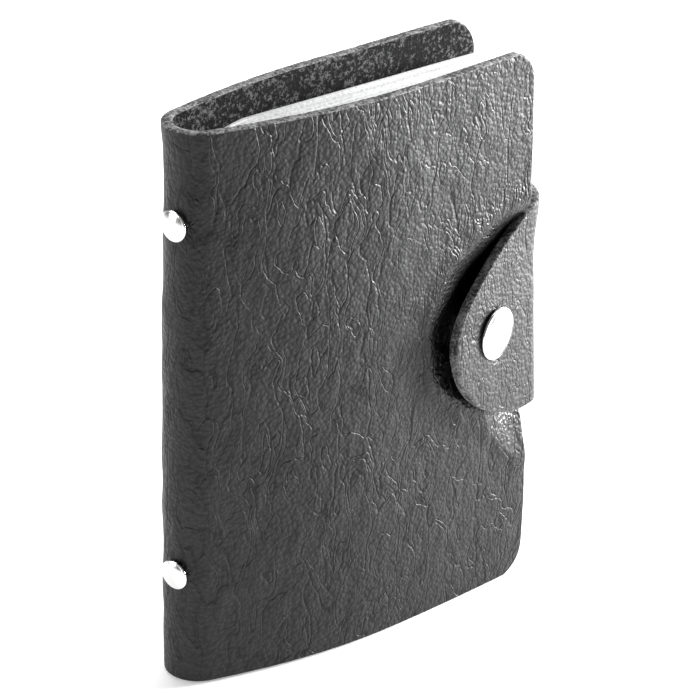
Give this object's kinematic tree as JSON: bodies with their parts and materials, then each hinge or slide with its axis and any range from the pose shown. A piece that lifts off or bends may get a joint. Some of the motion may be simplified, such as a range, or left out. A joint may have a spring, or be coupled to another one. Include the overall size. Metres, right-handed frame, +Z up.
{
  "type": "business card case",
  "caption": "Upright leather card case: one cover folded round a riveted spine, a block of clear sleeves, and a rounded tab that snaps onto the front.",
  "frame": {"origin": "middle of the overall box, on the base it stands on", "axes": "+Z up the spine, +X from the spine to the free edge with the tab, -Y out of the front cover, +Y out of the back cover"},
  "size_m": [0.0792, 0.0264, 0.11],
  "materials": {
    "leather": "black pebbled grain with creases, black suede flesh side, raw cut edges",
    "sleeve_film": "clear to milky soft plastic film",
    "binding": "black moulded plastic, fine even texture",
    "nickel": "polished nickel plate"
  },
  "bodies": {
    "root": {"back_cover": "leather", "spine": "leather", "binding_strip": "binding", "rivet_cap_lower": "nickel", "rivet_cap_upper": "nickel", "rivet_post_lower": "nickel", "rivet_post_upper": "nickel"},
    "front_cover_body": {"front_cover": "leather", "snap_stud": "nickel", "snap_post": "nickel"},
    "tab_side_body": {"tab_side": "leather"},
    "tab_flap_body": {"tab_flap": "leather", "snap_cap": "nickel", "snap_socket": "nickel"},
    "sleeve_01_body": {"sleeve_01": "sleeve_film"},
    "sleeve_02_body": {"sleeve_02": "sleeve_film"},
    "sleeve_03_body": {"sleeve_03": "sleeve_film"},
    "sleeve_04_body": {"sleeve_04": "sleeve_film"},
    "sleeve_05_body": {"sleeve_05": "sleeve_film"},
    "sleeve_06_body": {"sleeve_06": "sleeve_film"},
    "sleeve_07_body": {"sleeve_07": "sleeve_film"},
    "sleeve_08_body": {"sleeve_08": "sleeve_film"},
    "sleeve_09_body": {"sleeve_09": "sleeve_film"},
    "sleeve_10_body": {"sleeve_10": "sleeve_film"}
  },
  "joints": [
    {"name": "cover_open", "type": "hinge", "parent": "root", "child": "front_cover_body", "pos_m": [-0.03376, -0.00468, 0.055], "axis": [0, 0, -1], "range_deg": [0, 175]},
    {"name": "tab_side_bend", "type": "hinge", "parent": "root", "child": "tab_side_body", "pos_m": [0.03868, 0.01061, 0.0555], "axis": [0, 0, 1], "range_deg": [0, 90]},
    {"name": "tab_flap_lift", "type": "hinge", "parent": "tab_side_body", "child": "tab_flap_body", "pos_m": [0.03852, -0.00646, 0.0555], "axis": [0, 0, 1], "range_deg": [0, 100]},
    {"name": "sleeve_01_fan", "type": "hinge", "parent": "root", "child": "sleeve_01_body", "pos_m": [-0.03407, 0.00441, 0.054], "axis": [0, 0, -1], "range_deg": [0, 0.23]},
    {"name": "sleeve_02_fan", "type": "hinge", "parent": "root", "child": "sleeve_02_body", "pos_m": [-0.03407, 0.00379, 0.054], "axis": [0, 0, -1], "range_deg": [0, 0.45]},
    {"name": "sleeve_03_fan", "type": "hinge", "parent": "root", "child": "sleeve_03_body", "pos_m": [-0.03407, 0.00317, 0.054], "axis": [0, 0, -1], "range_deg": [0, 0.67]},
    {"name": "sleeve_04_fan", "type": "hinge", "parent": "root", "child": "sleeve_04_body", "pos_m": [-0.03407, 0.00255, 0.054], "axis": [0, 0, -1], "range_deg": [0, 0.89]},
    {"name": "sleeve_05_fan", "type": "hinge", "parent": "root", "child": "sleeve_05_body", "pos_m": [-0.03407, 0.00193, 0.054], "axis": [0, 0, -1], "range_deg": [0, 1.11]},
    {"name": "sleeve_06_fan", "type": "hinge", "parent": "root", "child": "sleeve_06_body", "pos_m": [-0.03407, 0.00131, 0.054], "axis": [0, 0, -1], "range_deg": [0, 1.33]},
    {"name": "sleeve_07_fan", "type": "hinge", "parent": "root", "child": "sleeve_07_body", "pos_m": [-0.03407, 0.00069, 0.054], "axis": [0, 0, -1], "range_deg": [0, 1.55]},
    {"name": "sleeve_08_fan", "type": "hinge", "parent": "root", "child": "sleeve_08_body", "pos_m": [-0.03407, 0.00007, 0.054], "axis": [0, 0, -1], "range_deg": [0, 1.77]},
    {"name": "sleeve_09_fan", "type": "hinge", "parent": "root", "child": "sleeve_09_body", "pos_m": [-0.03407, -0.00055, 0.054], "axis": [0, 0, -1], "range_deg": [0, 1.99]},
    {"name": "sleeve_10_fan", "type": "hinge", "parent": "root", "child": "sleeve_10_body", "pos_m": [-0.03407, -0.00117, 0.054], "axis": [0, 0, -1], "range_deg": [0, 2.21]}
  ],
  "couplings": [
    {"joint": "sleeve_01_fan", "follows": "cover_open", "ratio": 0.0012571},
    {"joint": "sleeve_02_fan", "follows": "cover_open", "ratio": 0.0025143},
    {"joint": "sleeve_03_fan", "follows": "cover_open", "ratio": 0.0037714},
    {"joint": "sleeve_04_fan", "follows": "cover_open", "ratio": 0.0050286},
    {"joint": "sleeve_05_fan", "follows": "cover_open", "ratio": 0.0062857},
    {"joint": "sleeve_06_fan", "follows": "cover_open", "ratio": 0.0075429},
    {"joint": "sleeve_07_fan", "follows": "cover_open", "ratio": 0.0088},
    {"joint": "sleeve_08_fan", "follows": "cover_open", "ratio": 0.010057},
    {"joint": "sleeve_09_fan", "follows": "cover_open", "ratio": 0.011314},
    {"joint": "sleeve_10_fan", "follows": "cover_open", "ratio": 0.012571}
  ]
}
